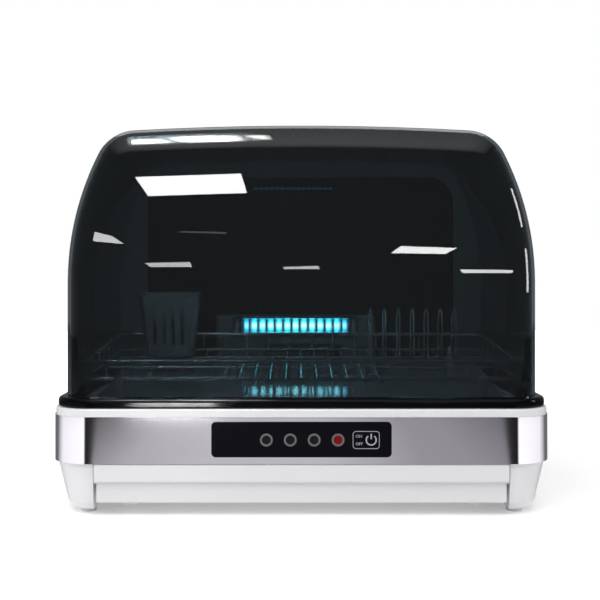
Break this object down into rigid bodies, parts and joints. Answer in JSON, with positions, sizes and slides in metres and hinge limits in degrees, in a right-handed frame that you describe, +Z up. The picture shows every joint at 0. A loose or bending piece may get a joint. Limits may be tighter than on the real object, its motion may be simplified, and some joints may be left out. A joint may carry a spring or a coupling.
{
  "type": "dish sterilizer cabinet",
  "caption": "Countertop dish sterilizer: smoke-tinted dome lid hinged at the back of a white base with a steel band, slide-out drip tray, wire rack and ultraviolet lamp.",
  "frame": {"origin": "on the surface it stands on, under the middle of the cabinet", "axes": "+X to the right seen from the front, +Y to the back, +Z up"},
  "size_m": [0.51, 0.38, 0.3979],
  "materials": {
    "white_plastic": "moulded, satin gloss",
    "base_grey_plastic": "moulded, matte",
    "band_steel": "brushed along the band",
    "floor_steel": "bright pressed sheet",
    "panel_black": "high gloss",
    "ring_grey": "printed grey",
    "lens_dark": "unlit lens",
    "lens_red": "lit lens",
    "circuit_board": "solder resist",
    "indicator_light": "clear epoxy",
    "switch_black": "moulded",
    "foot_rubber": "soft rubber",
    "runner_plastic": "slippery moulding",
    "wall_black": "fine grain",
    "housing_grey": "fine grain",
    "guard_metal": "satin",
    "lamp_glass": "lit quartz tube",
    "cap_aluminium": "spun",
    "holder_white": "moulded",
    "reflector_aluminium": "polished",
    "louvre_black": "moulded",
    "heater_fins": "crimped fins",
    "wheel_plastic": "moulded",
    "shaft_steel": "ground",
    "motor_steel": "zinc plated",
    "screw_steel": "zinc plated",
    "hinge_steel": "black coated",
    "smoke_acrylic": "smoke tinted, polished",
    "rim_black": "gloss",
    "seal_rubber": "soft strip",
    "magnet_steel": "nickel plated",
    "rack_chrome": "bright plated wire",
    "holder_clear": "pale translucent moulding"
  },
  "bodies": {
    "base": {"lower_housing": "white_plastic", "top_deck": "white_plastic", "bottom_cover": "base_grey_plastic", "vent_grille": "base_grey_plastic", "air_duct": "base_grey_plastic", "fan_scroll": "base_grey_plastic", "steel_band": "band_steel", "drain_pan": "floor_steel", "control_panel": "panel_black", "indicator_rings": "ring_grey", "indicator_lenses": "lens_dark", "red_lens": "lens_red", "control_board": "circuit_board", "indicator_lights": "indicator_light", "key_switch": "switch_black", "lid_sensor": "switch_black", "terminal_block": "switch_black", "rubber_feet": "foot_rubber", "cord_gland": "foot_rubber", "tray_runners": "runner_plastic", "air_plenum": "wall_black", "rear_wall": "wall_black", "lamp_housing": "housing_grey", "lamp_guard": "guard_metal", "uv_lamp": "lamp_glass", "lamp_caps": "cap_aluminium", "lamp_holders": "holder_white", "lamp_reflector": "reflector_aluminium", "outlet_louvre": "louvre_black", "heater": "heater_fins", "hinge_pins": "shaft_steel", "fan_motor": "motor_steel", "lamp_ballast": "motor_steel", "thermal_cutout": "motor_steel", "cover_screws": "screw_steel", "hinge_brackets": "hinge_steel"},
    "lid": {"lid_cover": "smoke_acrylic", "lid_rim": "rim_black", "lid_seal": "seal_rubber", "lid_arms": "hinge_steel", "lid_magnet": "magnet_steel"},
    "tray": {"drip_tray": "white_plastic", "tray_front": "white_plastic"},
    "rack": {"rack_hoops": "rack_chrome", "rack_uprights": "rack_chrome", "rack_floor": "rack_chrome", "plate_prongs": "rack_chrome", "rack_feet": "foot_rubber"},
    "holder": {"cutlery_holder": "holder_clear"},
    "key": {"power_key": "panel_black"},
    "fan_rotor": {"fan_impeller": "wheel_plastic", "fan_shaft": "shaft_steel"}
  },
  "joints": [
    {"name": "lid_hinge", "type": "hinge", "parent": "base", "child": "lid", "pos_m": [0, 0.1785, 0.116], "axis": [-1, 0, 0], "range_deg": [0, 80]},
    {"name": "drip_tray_slide", "type": "slide", "parent": "base", "child": "tray", "axis": [0, -1, 0], "range_m": [0, 0.24]},
    {"name": "rack_lift", "type": "slide", "parent": "base", "child": "rack", "axis": [0, 0, 1], "range_m": [0, 0.1]},
    {"name": "holder_lift", "type": "slide", "parent": "rack", "child": "holder", "axis": [0, 0, 1], "range_m": [0, 0.03]},
    {"name": "power_key_press", "type": "slide", "parent": "base", "child": "key", "axis": [0, 1, 0], "range_m": [0, 0.0006], "stiffness_N_per_m": 2000},
    {"name": "fan_spin", "type": "hinge", "parent": "base", "child": "fan_rotor", "pos_m": [-0.022, 0.12, 0.054], "axis": [0, 1, 0], "continuous": true}
  ]
}
